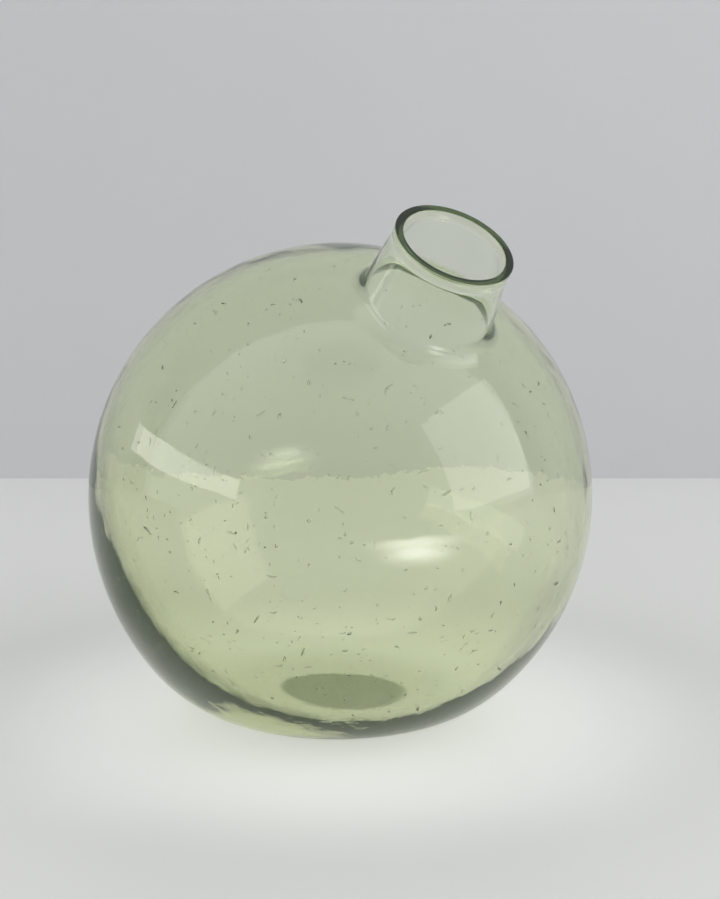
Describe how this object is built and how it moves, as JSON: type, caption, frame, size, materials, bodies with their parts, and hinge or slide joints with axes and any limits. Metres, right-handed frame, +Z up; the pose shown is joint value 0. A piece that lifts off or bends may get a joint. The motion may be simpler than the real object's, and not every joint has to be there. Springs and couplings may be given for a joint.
{
  "type": "bud vase",
  "caption": "Hollow glass globe vase on a flattened foot, with a short open neck leaning to one side for cut stems.",
  "frame": {"origin": "on the flat standing face, straight under the centre of the globe", "axes": "+Z up; the neck leans from +Z towards +X; the shape is mirrored across the XZ plane"},
  "size_m": [0.1406, 0.14, 0.1471],
  "materials": {
    "glass": "fire-polished pale green glass with small air seeds"
  },
  "bodies": {
    "root": {"globe": "glass", "heel": "glass", "shoulder": "glass", "neck": "glass", "lip": "glass"}
  },
  "joints": []
}
